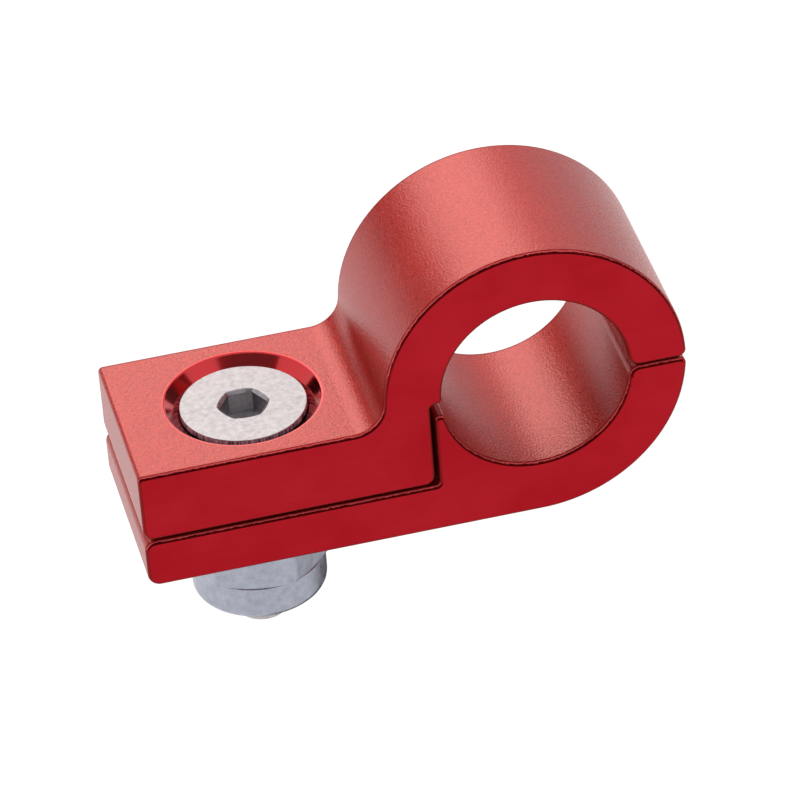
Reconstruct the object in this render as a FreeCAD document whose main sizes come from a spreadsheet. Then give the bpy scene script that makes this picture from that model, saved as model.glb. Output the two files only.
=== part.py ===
import FreeCAD, Part
import math
import os

import Sketcher

# P clip: a tube clamp of two aluminium halves cut from extruded bar, held by one screw.
# The origin is the middle of the tube bore. X runs along the arms towards the nose,
# Y along the tube and Z up. All sizes are in millimetres and degrees.

SIZES = [
    # Body of the clip
    ("clip_width", 19.0),
    ("tube_diameter", 18.0),
    ("ring_wall", 5.5),
    ("arm_length", 38.0),
    ("arm_top_drop", 2.0),
    ("lower_arm_thickness", 5.0),
    ("arm_gap", 0.3),
    # Split between the halves
    ("split_drop", 0.3),
    ("split_gap", 0.2),
    ("heel_wall", 0.75),
    ("heel_gap", 0.4),
    ("heel_top_drop", 1.4),
    # Rounded corners of the bar section
    ("arm_root_radius", 3.0),
    ("arm_top_radius", 0.5),
    ("arm_foot_radius", 1.2),
    ("arm_inner_radius", 1.0),
    ("heel_corner_radius", 1.0),
    ("heel_root_radius", 0.4),
    ("heel_tip_radius", 0.4),
    ("pocket_radius", 0.6),
    ("pocket_lip_radius", 0.4),
    ("nose_bore_radius", 1.2),
    ("nose_outer_radius", 0.7),
    ("edge_break", 0.3),
    # Screw and its seat
    ("screw_offset", 26.0),
    ("thread_diameter", 6.0),
    ("hole_clearance", 0.6),
    ("countersink_diameter", 14.4),
    ("head_diameter", 12.0),
    ("head_depth", 0.35),
    ("head_rim_radius", 0.3),
    ("screw_length", 24.0),
    ("screw_end_chamfer", 0.6),
    ("socket_flats", 4.0),
    ("socket_depth", 2.4),
    ("socket_mouth_diameter", 4.9),
    ("socket_turn", -1.0),
    # Lock nut and its insert
    ("nut_flats", 13.0),
    ("nut_height", 8.8),
    ("nut_hex_height", 5.1),
    ("nut_face_diameter", 12.3),
    ("nut_turn", 16.0),
    ("nut_entry_chamfer", 0.4),
    ("collar_diameter", 12.9),
    ("collar_round", 0.9),
    ("insert_diameter", 9.6),
    ("insert_height", 2.2),
    ("insert_lip_height", 0.7),
    ("insert_lip_width", 0.45),
    ("insert_mouth_bevel", 0.3),
]

# Sizes that follow from the table, measured from the middle of the bore
BORE = "Sizes.tube_diameter / 2"
RING = "(Sizes.tube_diameter / 2 + Sizes.ring_wall)"
UPPER_SPLIT = "(Sizes.split_drop - Sizes.split_gap / 2)"
LOWER_SPLIT = "(Sizes.split_drop + Sizes.split_gap / 2)"
LOWER_ARM_TOP = "(%s - Sizes.lower_arm_thickness)" % RING
UPPER_ARM_UNDER = "(%s - Sizes.arm_gap)" % LOWER_ARM_TOP
LOWER_HEEL = "(%s + Sizes.heel_wall)" % BORE
UPPER_HEEL = "(%s + Sizes.heel_gap)" % LOWER_HEEL
HEEL_TOP = "(Sizes.split_drop + Sizes.heel_top_drop)"
HOLE = "(Sizes.thread_diameter + Sizes.hole_clearance) / 2"
THREAD = "Sizes.thread_diameter / 2"
HEAD = "Sizes.head_diameter / 2"
HEAD_LAND = "((Sizes.countersink_diameter - Sizes.head_diameter) / 2 - Sizes.head_depth)"
HEAD_HEIGHT = "(%s + %s - %s)" % (HEAD_LAND, HEAD, THREAD)
NUT_CORNER = "(Sizes.nut_flats / 2 / cos(30 deg))"
COLLAR = "Sizes.collar_diameter / 2"
INSERT = "Sizes.insert_diameter / 2"
INSERT_LOW = "(Sizes.nut_height - Sizes.insert_lip_height)"
INSERT_TOP = "(%s - Sizes.insert_height)" % INSERT_LOW

doc = FreeCAD.newDocument("p_clip")
table = doc.addObject("Spreadsheet::Sheet", "Sizes")
for row, (word, value) in enumerate(SIZES, start=1):
    table.set("A%d" % row, word)
    table.set("B%d" % row, repr(value))
    table.setAlias("B%d" % row, word)
doc.recompute()


def measure(expression):
    """Value of an expression in millimetres."""
    return float(table.evalExpression(expression.replace("Sizes.", "")))


def new_body(name, x="0", z="0"):
    """A body named for its piece, whose own origin is at the expressions x and z."""
    body = doc.addObject("PartDesign::Body", name)
    body.Label = name
    body.setExpression("Placement.Base.x", x)
    body.setExpression("Placement.Base.z", z)
    return body


def new_sketch(body, name, role, x="0", y="0"):
    """A sketch on one of the body's own origin planes, shifted in it by x and y."""
    sketch = body.newObject("Sketcher::SketchObject", name)
    planes = [item for item in body.Origin.OriginFeatures if item.Role == role]
    sketch.AttachmentSupport = [(planes[0], "")]
    sketch.MapMode = "FlatFace"
    sketch.setExpression("AttachmentOffset.Base.x", x)
    sketch.setExpression("AttachmentOffset.Base.y", y)
    return sketch


def join(sketch, first, first_end, second, second_end):
    sketch.addConstraint(Sketcher.Constraint("Coincident", first, first_end, second, second_end))


def pin(sketch, name, expression, *constraint):
    """A constraint whose value follows an expression."""
    index = sketch.addConstraint(Sketcher.Constraint(*constraint, measure(expression)))
    sketch.renameConstraint(index, name)
    sketch.setExpression("Constraints.%s" % name, expression)


def line(sketch, start, end):
    segment = Part.LineSegment(FreeCAD.Vector(*start, 0), FreeCAD.Vector(*end, 0))
    return sketch.addGeometry(segment, False)


def arc(sketch, radius, start, end):
    """An arc about the sketch's origin, anticlockwise from one point's direction to the other's."""
    circle = Part.Circle(FreeCAD.Vector(0, 0, 0), FreeCAD.Vector(0, 0, 1), radius)
    first = math.atan2(start[1], start[0])
    last = math.atan2(end[1], end[0])
    if last <= first:
        last += 2 * math.pi
    index = sketch.addGeometry(Part.ArcOfCircle(circle, first, last), False)
    join(sketch, index, 3, -1, 1)
    return index


def outline(sketch, corners):
    """A closed outline of straight lines. Each corner is a pair of expressions for how far
    it lies along the sketch's x axis and below the sketch's origin."""
    places = [(measure(x), -measure(drop)) for x, drop in corners]
    lines = []
    for index, place in enumerate(places):
        lines.append(line(sketch, place, places[(index + 1) % len(places)]))
    for index in range(len(lines)):
        join(sketch, lines[index - 1], 2, lines[index], 1)
    for index, (x, drop) in enumerate(corners):
        pin(sketch, "x%d" % index, x, "DistanceX", -1, 1, lines[index], 1)
        pin(sketch, "drop%d" % index, drop, "DistanceY", lines[index], 1, -1, 1)
    return lines


def circle(sketch, radius):
    ring = Part.Circle(FreeCAD.Vector(0, 0, 0), FreeCAD.Vector(0, 0, 1), measure(radius))
    index = sketch.addGeometry(ring, False)
    join(sketch, index, 3, -1, 1)
    pin(sketch, "radius", radius, "Radius", index)


def hexagon(sketch, flats, turn):
    """A regular hexagon of a given size across flats, turned about the sketch's origin."""
    radius = measure("%s / 2 / cos(30 deg)" % flats)
    corners = [(radius * math.cos(math.radians(60 * n)), radius * math.sin(math.radians(60 * n))) for n in range(6)]
    sides = [line(sketch, corners[n], corners[(n + 1) % 6]) for n in range(6)]
    guide = sketch.addGeometry(Part.Circle(FreeCAD.Vector(0, 0, 0), FreeCAD.Vector(0, 0, 1), radius), True)
    join(sketch, guide, 3, -1, 1)
    for n in range(6):
        join(sketch, sides[n - 1], 2, sides[n], 1)
        sketch.addConstraint(Sketcher.Constraint("PointOnObject", sides[n], 1, guide))
    for n in range(1, 6):
        sketch.addConstraint(Sketcher.Constraint("Equal", sides[0], sides[n]))
    sketch.addConstraint(Sketcher.Constraint("PointOnObject", sides[0], 1, -1))
    pin(sketch, "corner_radius", "%s / 2 / cos(30 deg)" % flats, "Radius", guide)
    sketch.setExpression("AttachmentOffset.Rotation.Angle", "%s * 1 deg" % turn)


def pad(body, name, sketch, length, both_sides=False, downwards=False):
    feature = body.newObject("PartDesign::Pad", name)
    feature.Profile = sketch
    feature.setExpression("Length", length)
    if both_sides:
        feature.SideType = "Symmetric"
    feature.Reversed = downwards
    sketch.Visibility = False
    doc.recompute()
    return feature


def pocket(body, name, sketch, depth=None):
    """A pocket below the sketch, right through the body when no depth is given."""
    feature = body.newObject("PartDesign::Pocket", name)
    feature.Profile = sketch
    if depth is None:
        feature.Type = "ThroughAll"
    else:
        feature.setExpression("Length", depth)
    sketch.Visibility = False
    doc.recompute()
    return feature


def turned(body, kind, name, sketch):
    """A Revolution or a Groove about the sketch's own vertical axis."""
    feature = body.newObject("PartDesign::" + kind, name)
    feature.Profile = sketch
    feature.ReferenceAxis = (sketch, ["V_Axis"])
    feature.Angle = 360
    sketch.Visibility = False
    doc.recompute()
    return feature


def rounded(body, name, edges, radius):
    """Rounds the named edges of the body's last feature."""
    base = body.Tip
    feature = body.newObject("PartDesign::Fillet", name)
    feature.Base = (base, edges)
    feature.setExpression("Radius", radius)
    doc.recompute()
    return feature


def bevelled(body, name, edges, width):
    """Bevels the named edges of the body's last feature at 45 degrees."""
    base = body.Tip
    feature = body.newObject("PartDesign::Chamfer", name)
    feature.Base = (base, edges)
    feature.setExpression("Size", width)
    doc.recompute()
    return feature


def edges_along_y(body, x, z):
    """Names of the body's edges that run along Y at the place x, z."""
    found = []
    for index, edge in enumerate(body.Tip.Shape.Edges, start=1):
        ends = [vertex.Point for vertex in edge.Vertexes]
        if len(ends) == 2 and all(math.hypot(end.x - x, end.z - z) < 1e-4 for end in ends):
            found.append("Edge%d" % index)
    return found


def edges_of_cut_faces(body, half_width):
    """Names of the edges that lie in the two faces where the bar was cut to length."""
    found = []
    for index, edge in enumerate(body.Tip.Shape.Edges, start=1):
        box = edge.BoundBox
        flat = box.YMax - box.YMin < 1e-4
        if flat and abs(abs(box.YMin) - half_width) < 1e-4:
            found.append("Edge%d" % index)
    return found


def circle_edges(body, radius, z):
    """Names of the round edges of a given radius at the height z in the body."""
    found = []
    for index, edge in enumerate(body.Tip.Shape.Edges, start=1):
        round_edge = hasattr(edge.Curve, "Radius") and abs(edge.Curve.Radius - radius) < 1e-4
        if round_edge and abs(edge.BoundBox.ZMin - z) < 1e-4 and abs(edge.BoundBox.ZMax - z) < 1e-4:
            found.append("Edge%d" % index)
    return found


def on_circle(radius, drop):
    """How far along X a circle about the bore's middle is at a depth below it."""
    return math.sqrt(radius ** 2 - drop ** 2)


bore = measure(BORE)
ring = measure(RING)
upper_split = measure(UPPER_SPLIT)
lower_split = measure(LOWER_SPLIT)
arm_end = -measure("Sizes.arm_length")
arm_top = measure("Sizes.arm_top_drop")
upper_under = measure(UPPER_ARM_UNDER)
lower_top = measure(LOWER_ARM_TOP)
upper_heel = -measure(UPPER_HEEL)
lower_heel = -measure(LOWER_HEEL)
heel_top = measure(HEEL_TOP)
half_width = measure("Sizes.clip_width / 2")

# Upper half: the section of the extruded bar
upper = new_body("upper_half")
section = new_sketch(upper, "upper_section", "XZ_Plane")
root = (-on_circle(ring, arm_top), -arm_top)
nose_outer = (on_circle(ring, upper_split), -upper_split)
nose_inner = (on_circle(bore, upper_split), -upper_split)
pocket_lip = (-on_circle(bore, upper_split), -upper_split)
arm_top_line = line(section, (arm_end, -arm_top), root)
outside = arc(section, ring, nose_outer, root)
nose_line = line(section, nose_outer, nose_inner)
inside = arc(section, bore, nose_inner, pocket_lip)
pocket_line = line(section, pocket_lip, (upper_heel, -upper_split))
heel_line = line(section, (upper_heel, -upper_split), (upper_heel, -upper_under))
under_line = line(section, (upper_heel, -upper_under), (arm_end, -upper_under))
end_line = line(section, (arm_end, -upper_under), (arm_end, -arm_top))
join(section, arm_top_line, 2, outside, 2)
join(section, outside, 1, nose_line, 1)
join(section, nose_line, 2, inside, 1)
join(section, inside, 2, pocket_line, 1)
join(section, pocket_line, 2, heel_line, 1)
join(section, heel_line, 2, under_line, 1)
join(section, under_line, 2, end_line, 1)
join(section, end_line, 2, arm_top_line, 1)
for level in (arm_top_line, nose_line, pocket_line, under_line):
    section.addConstraint(Sketcher.Constraint("Horizontal", level))
for upright in (heel_line, end_line):
    section.addConstraint(Sketcher.Constraint("Vertical", upright))
pin(section, "ring_radius", RING, "Radius", outside)
pin(section, "bore_radius", BORE, "Radius", inside)
pin(section, "arm_top", "Sizes.arm_top_drop", "DistanceY", arm_top_line, 1, -1, 1)
pin(section, "arm_end", "Sizes.arm_length", "DistanceX", arm_top_line, 1, -1, 1)
pin(section, "nose_split", UPPER_SPLIT, "DistanceY", nose_line, 1, -1, 1)
pin(section, "pocket_split", UPPER_SPLIT, "DistanceY", pocket_line, 1, -1, 1)
pin(section, "heel_face", UPPER_HEEL, "DistanceX", heel_line, 1, -1, 1)
pin(section, "arm_under", UPPER_ARM_UNDER, "DistanceY", under_line, 1, -1, 1)
pad(upper, "upper_bar", section, "Sizes.clip_width", both_sides=True)

for name, place, radius in (
    ("arm_root", root, "arm_root_radius"),
    ("arm_top", (arm_end, -arm_top), "arm_top_radius"),
    ("arm_inner", (arm_end, -upper_under), "arm_inner_radius"),
    ("heel_corner", (upper_heel, -upper_under), "heel_corner_radius"),
    ("pocket_corner", (upper_heel, -upper_split), "pocket_radius"),
    ("pocket_lip", pocket_lip, "pocket_lip_radius"),
    ("nose_inner", nose_inner, "nose_bore_radius"),
    ("nose_outer", nose_outer, "nose_outer_radius"),
):
    rounded(upper, "upper_" + name, edges_along_y(upper, *place), "Sizes." + radius)
bevelled(upper, "upper_edge_break", edges_of_cut_faces(upper, half_width), "Sizes.edge_break")

upper_hole = new_sketch(upper, "upper_hole_circle", "XY_Plane", x="-Sizes.screw_offset")
circle(upper_hole, HOLE)
pocket(upper, "upper_screw_hole", upper_hole)
seat = new_sketch(upper, "countersink_section", "XZ_Plane", x="-Sizes.screw_offset", y="-Sizes.arm_top_drop")
outline(seat, [
    ("0", "0"),
    ("Sizes.countersink_diameter / 2", "0"),
    (HOLE, "Sizes.countersink_diameter / 2 - " + HOLE),
    ("0", "Sizes.countersink_diameter / 2 - " + HOLE),
])
turned(upper, "Groove", "countersink", seat)

# Lower half: the section of its own bar, flat below
lower = new_body("lower_half")
section = new_sketch(lower, "lower_section", "XZ_Plane")
heel_lip = (-on_circle(bore, heel_top), -heel_top)
nose_inner = (on_circle(bore, lower_split), -lower_split)
nose_outer = (on_circle(ring, lower_split), -lower_split)
arm_top_line = line(section, (arm_end, -lower_top), (lower_heel, -lower_top))
heel_line = line(section, (lower_heel, -lower_top), (lower_heel, -heel_top))
heel_top_line = line(section, (lower_heel, -heel_top), heel_lip)
inside = arc(section, bore, heel_lip, nose_inner)
nose_line = line(section, nose_inner, nose_outer)
outside = arc(section, ring, (0, -ring), nose_outer)
foot_line = line(section, (0, -ring), (arm_end, -ring))
end_line = line(section, (arm_end, -ring), (arm_end, -lower_top))
join(section, arm_top_line, 2, heel_line, 1)
join(section, heel_line, 2, heel_top_line, 1)
join(section, heel_top_line, 2, inside, 1)
join(section, inside, 2, nose_line, 1)
join(section, nose_line, 2, outside, 2)
section.addConstraint(Sketcher.Constraint("Tangent", outside, 1, foot_line, 1))
join(section, foot_line, 2, end_line, 1)
join(section, end_line, 2, arm_top_line, 1)
for level in (arm_top_line, heel_top_line, nose_line, foot_line):
    section.addConstraint(Sketcher.Constraint("Horizontal", level))
for upright in (heel_line, end_line):
    section.addConstraint(Sketcher.Constraint("Vertical", upright))
pin(section, "ring_radius", RING, "Radius", outside)
pin(section, "bore_radius", BORE, "Radius", inside)
pin(section, "arm_top", LOWER_ARM_TOP, "DistanceY", arm_top_line, 1, -1, 1)
pin(section, "arm_end", "Sizes.arm_length", "DistanceX", arm_top_line, 1, -1, 1)
pin(section, "heel_face", LOWER_HEEL, "DistanceX", heel_line, 1, -1, 1)
pin(section, "heel_top", HEEL_TOP, "DistanceY", heel_top_line, 1, -1, 1)
pin(section, "nose_split", LOWER_SPLIT, "DistanceY", nose_line, 1, -1, 1)
pad(lower, "lower_bar", section, "Sizes.clip_width", both_sides=True)

for name, place, radius in (
    ("arm_foot", (arm_end, -ring), "arm_foot_radius"),
    ("arm_inner", (arm_end, -lower_top), "arm_inner_radius"),
    ("heel_root", (lower_heel, -lower_top), "heel_root_radius"),
    ("heel_tip", (lower_heel, -heel_top), "heel_tip_radius"),
    ("heel_lip", heel_lip, "heel_tip_radius"),
    ("nose_inner", nose_inner, "nose_bore_radius"),
    ("nose_outer", nose_outer, "nose_outer_radius"),
):
    rounded(lower, "lower_" + name, edges_along_y(lower, *place), "Sizes." + radius)
bevelled(lower, "lower_edge_break", edges_of_cut_faces(lower, half_width), "Sizes.edge_break")

lower_hole = new_sketch(lower, "lower_hole_circle", "XY_Plane", x="-Sizes.screw_offset")
circle(lower_hole, HOLE)
pocket(lower, "lower_screw_hole", lower_hole)

# Countersunk screw, built down from the top of its head
screw = new_body("clamp_screw", x="-Sizes.screw_offset", z="-Sizes.arm_top_drop - Sizes.head_depth")
blank = new_sketch(screw, "screw_section", "XZ_Plane")
outline(blank, [
    ("0", "0"),
    (HEAD, "0"),
    (HEAD, HEAD_LAND),
    (THREAD, HEAD_HEIGHT),
    (THREAD, "Sizes.screw_length - Sizes.screw_end_chamfer"),
    (THREAD + " - Sizes.screw_end_chamfer", "Sizes.screw_length"),
    ("0", "Sizes.screw_length"),
])
turned(screw, "Revolution", "screw_blank", blank)
rounded(screw, "head_rim", circle_edges(screw, measure(HEAD), 0), "Sizes.head_rim_radius")
key = new_sketch(screw, "socket_hexagon", "XY_Plane")
hexagon(key, "Sizes.socket_flats", "Sizes.socket_turn")
pocket(screw, "socket", key, "Sizes.socket_depth")
mouth = new_sketch(screw, "socket_mouth_section", "XZ_Plane")
outline(mouth, [
    ("0", "0"),
    ("Sizes.socket_mouth_diameter / 2", "0"),
    ("0", "Sizes.socket_mouth_diameter / 2"),
])
turned(screw, "Groove", "socket_mouth", mouth)
drill = new_sketch(screw, "socket_floor_section", "XZ_Plane")
outline(drill, [
    ("0", "Sizes.socket_depth"),
    ("Sizes.socket_flats / 2", "Sizes.socket_depth"),
    ("0", "Sizes.socket_depth + Sizes.socket_flats / 2 * tan(30 deg)"),
])
turned(screw, "Groove", "socket_floor", drill)

# Lock nut, built down from the face that bears on the lower arm
nut = new_body("lock_nut", x="-Sizes.screw_offset", z="-" + RING)
bar = new_sketch(nut, "nut_hexagon", "XY_Plane")
hexagon(bar, "Sizes.nut_flats", "Sizes.nut_turn")
pad(nut, "nut_bar", bar, "Sizes.nut_height", downwards=True)
top = new_sketch(nut, "nut_chamfer_section", "XZ_Plane")
outline(top, [
    ("Sizes.nut_face_diameter / 2", "0"),
    ("Sizes.nut_flats", "0"),
    ("Sizes.nut_flats", "(Sizes.nut_flats - Sizes.nut_face_diameter / 2) * tan(30 deg)"),
])
turned(nut, "Groove", "nut_chamfer", top)
collar = new_sketch(nut, "collar_section", "XZ_Plane")
outline(collar, [
    (COLLAR, "Sizes.nut_hex_height + %s - %s" % (NUT_CORNER, COLLAR)),
    ("Sizes.nut_flats", "Sizes.nut_hex_height + %s - Sizes.nut_flats" % NUT_CORNER),
    ("Sizes.nut_flats", "Sizes.nut_height + Sizes.collar_round"),
    (COLLAR, "Sizes.nut_height + Sizes.collar_round"),
])
turned(nut, "Groove", "collar", collar)
rounded(nut, "collar_edge", circle_edges(nut, measure(COLLAR), -measure("Sizes.nut_height")), "Sizes.collar_round")
tapping = new_sketch(nut, "tapping_circle", "XY_Plane")
circle(tapping, THREAD)
pocket(nut, "tapped_hole", tapping)
entry = new_sketch(nut, "entry_section", "XZ_Plane")
outline(entry, [
    ("0", "0"),
    (THREAD + " + Sizes.nut_entry_chamfer", "0"),
    ("0", THREAD + " + Sizes.nut_entry_chamfer"),
])
turned(nut, "Groove", "nut_entry", entry)
recess = new_sketch(nut, "insert_recess_section", "XZ_Plane")
outline(recess, [
    ("0", INSERT_TOP),
    (INSERT, INSERT_TOP),
    (INSERT, INSERT_LOW),
    (INSERT + " - Sizes.insert_lip_width", INSERT_LOW),
    (INSERT + " - Sizes.insert_lip_width", "Sizes.nut_height"),
    ("0", "Sizes.nut_height"),
])
turned(nut, "Groove", "insert_recess", recess)

# Nylon ring held in the collar of the nut
insert = new_body("nylon_insert", x="-Sizes.screw_offset", z="-" + RING)
washer = new_sketch(insert, "insert_section", "XZ_Plane")
outline(washer, [
    (THREAD, INSERT_TOP),
    (INSERT, INSERT_TOP),
    (INSERT, INSERT_LOW),
    (THREAD, INSERT_LOW),
])
turned(insert, "Revolution", "insert_ring", washer)
mouth_edge = circle_edges(insert, measure(THREAD), -measure(INSERT_LOW))
bevelled(insert, "insert_mouth", mouth_edge, "Sizes.insert_mouth_bevel")

bodies = [upper, lower, screw, nut, insert]
doc.recompute()
for item in doc.Objects:
    if "Invalid" in item.State or "Error" in item.State:
        raise RuntimeError("%s is %s" % (item.Name, item.State))
for body in bodies:
    shape = body.Shape
    if shape.isNull() or not shape.isValid() or len(shape.Solids) != 1:
        raise RuntimeError("%s is not one valid solid" % body.Name)
    print("%s %.2f mm3 in %d faces" % (body.Label, shape.Volume, len(shape.Faces)))

os.makedirs("parts", exist_ok=True)
for body in bodies:
    body.Shape.exportStep(os.path.join("parts", body.Label + ".step"))
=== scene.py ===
import math

import bmesh
import bpy
from mathutils import Matrix, Quaternion, Vector


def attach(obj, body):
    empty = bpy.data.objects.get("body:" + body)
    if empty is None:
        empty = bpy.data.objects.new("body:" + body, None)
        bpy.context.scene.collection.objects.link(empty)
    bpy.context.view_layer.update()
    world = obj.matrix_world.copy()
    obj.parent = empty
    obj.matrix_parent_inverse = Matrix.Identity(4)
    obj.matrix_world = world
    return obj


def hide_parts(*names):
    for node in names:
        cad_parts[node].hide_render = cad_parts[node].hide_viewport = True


# P clip: a tube clamp of two anodised aluminium halves, a countersunk screw and a lock nut.
# Blender works in metres. The sizes below are in millimetres from the middle of the tube's bore,
# and they become metres as a piece is finished.

MM = 0.001
QUARTER = math.pi / 2
FULL_TURN = 2 * math.pi

# Bar sections of the halves: radii of the bore and the ring, places along X and Z, and rounds
WIDTH = 19.0
BORE = 9.0
RING = 14.5
ARM_END = -38.0
ARM_TOP = -2.0
ARM_UNDER = -9.2
LOWER_ARM_TOP = -9.5
FOOT = -14.5
UPPER_SPLIT = -0.2
LOWER_SPLIT = -0.4
UPPER_HEEL = -10.15
LOWER_HEEL = -9.75
HEEL_TOP = -1.7
ARM_ROOT_RADIUS = 3.0
ARM_TOP_RADIUS = 0.5
ARM_FOOT_RADIUS = 1.2
ARM_INNER_RADIUS = 1.0
HEEL_CORNER_RADIUS = 1.0
HEEL_ROOT_RADIUS = 0.4
HEEL_TIP_RADIUS = 0.4
POCKET_RADIUS = 0.6
POCKET_LIP_RADIUS = 0.4
NOSE_BORE_RADIUS = 1.2
NOSE_OUTER_RADIUS = 0.7
EDGE_BREAK = 0.4
# Width of the strip of painted shade on the skin beside each cut's rounded edge
RIM_SHADE_WIDTH = 0.35

# Screw and its seat: radii about the screw's axis, heights and depths
SCREW_X = -26.0
HOLE = 3.3
COUNTERSINK = 7.2
MOUTH_ROUND = 0.35
HEAD = 6.0
HEAD_Z = -2.6
HEAD_LAND = 0.6
HEAD_RIM = 0.08
SHANK = 3.0
SCREW_END = -26.35
SCREW_END_CHAMFER = 0.6
THREAD_ROOT = 2.39
THREAD_PITCH = 1.0
THREAD_TOP = -8.0
THREAD_NECK = 0.4
# The corners of a thread tooth: how far along the pitch, as a share of it, and at which radius
THREAD_TOOTH = ((0.125, SHANK), (0.479, THREAD_ROOT), (0.646, THREAD_ROOT), (1.0, SHANK))
# Turns of thread that are swept beyond each end and cut off again
SPARE_TURNS = 2
SOCKET_FLATS = 4.0
SOCKET_DEPTH = 2.4
SOCKET_MOUTH = 4.4
SOCKET_MOUTH_CIRCLE = 2.32
SOCKET_TURN = math.radians(27.5)
SOCKET_DRILL = 1.85
SOCKET_DRILL_TIP = 0.7
SOCKET_LIP = 0.14
# The steps down the socket's lip: how much of its width is left and how far it has sunk, both
# as shares of SOCKET_LIP
SOCKET_LIP_STEPS = ((1.0, 0.0), (0.5, 0.2), (0.0, 0.6))

# Lock nut and the nylon ring in its collar
NUT_FLATS = 13.0
NUT_FACE = 6.15
NUT_BORE = 3.0
NUT_ENTRY = 0.4
NUT_TOP = FOOT
NUT_TURN = math.radians(16)
NUT_TOP_CHAMFER = math.radians(30)
NUT_LOW_CHAMFER = math.radians(27)
COLLAR = 6.45
COLLAR_TOP = -19.6
COLLAR_END = -23.3
COLLAR_NECK = 6.3
COLLAR_STEP = 0.14
COLLAR_ROUND = 0.9
LIP_HOLE = 4.35
LIP_ROUND = 0.2
INSERT = 4.8
INSERT_END = -22.6
INSERT_TOP = -20.4
INSERT_MOUTH = 0.3
# The hexagon's own edges are softened, and those nearer to the axis or to the collar stay sharp
NUT_SOFTNESS = 0.15
SOFT_FROM_RADIUS = NUT_FACE - 0.1
SOFT_FROM_Z = COLLAR_TOP + 0.02

# Fineness of the meshes, and how near or how nearly parallel counts as the same
ARC_STEP = math.radians(3)
FEWEST_ARC_STEPS = 3
TURNED_SIDES = 120
ROUND_STEPS = 5
EDGE_SEGMENTS = 6
SOFT_SEGMENTS = 2
SOFTENED_ANGLE = math.radians(25)
SHARP_ANGLE = math.radians(28)
WELD = 1e-5
SAME_PLACE = 1e-4
PARALLEL = 0.9999

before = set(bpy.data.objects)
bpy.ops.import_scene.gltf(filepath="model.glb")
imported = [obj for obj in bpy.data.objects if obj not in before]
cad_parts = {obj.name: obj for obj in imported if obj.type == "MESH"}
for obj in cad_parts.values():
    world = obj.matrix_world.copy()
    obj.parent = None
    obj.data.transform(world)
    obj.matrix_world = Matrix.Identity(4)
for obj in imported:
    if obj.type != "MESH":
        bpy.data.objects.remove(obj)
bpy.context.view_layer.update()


def colour(code):
    """Linear colour of an sRGB hex value."""
    parts = [int(code[i:i + 2], 16) / 255 for i in (0, 2, 4)]
    return [c / 12.92 if c <= 0.04045 else ((c + 0.055) / 1.055) ** 2.4 for c in parts] + [1]


def connect(tree, node, **inputs):
    """Sets a node's inputs, or links them to sockets or to the first outputs of nodes. An input
    goes by its name, or by its number after an underscore."""
    for key, value in inputs.items():
        socket = node.inputs[int(key[1:]) if key[0] == "_" else key.replace("_", " ")]
        if isinstance(value, bpy.types.Node):
            value = value.outputs[0]
        if isinstance(value, bpy.types.NodeSocket):
            tree.links.new(value, socket)
        else:
            socket.default_value = value


def add(tree, kind, settings=None, **inputs):
    """A node with its settings and its inputs."""
    node = tree.nodes.new(kind)
    for key, value in (settings or {}).items():
        setattr(node, key, value)
    connect(tree, node, **inputs)
    return node


def empty_tree(owner):
    """The node tree of a material or a world, with nothing in it."""
    owner.use_nodes = True
    owner.node_tree.nodes.clear()
    return owner.node_tree


def new_material(name, **inputs):
    """A material with a Principled shader, whose inputs are given by name."""
    material = bpy.data.materials.new(name)
    tree = empty_tree(material)
    shader = add(tree, "ShaderNodeBsdfPrincipled", **inputs)
    add(tree, "ShaderNodeOutputMaterial", Surface=shader)
    place = add(tree, "ShaderNodeTexCoord").outputs["Object"]
    return material, tree, shader, place


def per_mm(size):
    """Scale of a pattern on Object coordinates whose features are size millimetres."""
    return 1 / (size * MM)


# Colour mixes: input 0 is the share of the second colour, 6 and 7 are the colours, output 2 is
# the mix. Most values of a noise lie in the noise band.
COLOURS = {"data_type": "RGBA"}
NOISE_BAND = {"From_Min": 0.3, "From_Max": 0.7}

# Red anodised aluminium as extruded: the die leaves lines along the bar and the etch before
# dyeing leaves an orange peel grain. The dyed oxide is warm red, and its clear skin shows lamps
# as a broad pale sheen. The grain's hollows are painted darker and its crests lighter: painted
# shade and painted highlight of its relief. A narrow strip beside each cut is painted darker red:
# painted shade that widens the dark line along the rim. The finest die lines don't show, so the
# lines are drawn 0.35 mm apart.
red_extruded, tree, shader, place = new_material(
    "red_anodised_extruded", Metallic=1.0, Specular_Tint=colour("BC6C5A"), Coat_Weight=0.8,
    Coat_IOR=1.6, Coat_Roughness=0.22)
grain = add(tree, "ShaderNodeTexNoise", Vector=place, Scale=per_mm(0.21), Detail=2.0,
            Roughness=0.65)
drawn = add(tree, "ShaderNodeMapping", Vector=place, Scale=(1.0, 0.02, 1.0))
lines = add(tree, "ShaderNodeTexNoise", Vector=drawn, Scale=per_mm(0.35), Detail=2.0)
cloud = add(tree, "ShaderNodeTexNoise", Vector=place, Scale=per_mm(9.0), Detail=3.0)
patch = add(tree, "ShaderNodeMapRange", Value=cloud, From_Min=0.35, From_Max=0.65)
dye = add(tree, "ShaderNodeMix", COLOURS, _0=patch, _6=colour("BA2D28"), _7=colour("C2332B"))
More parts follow.
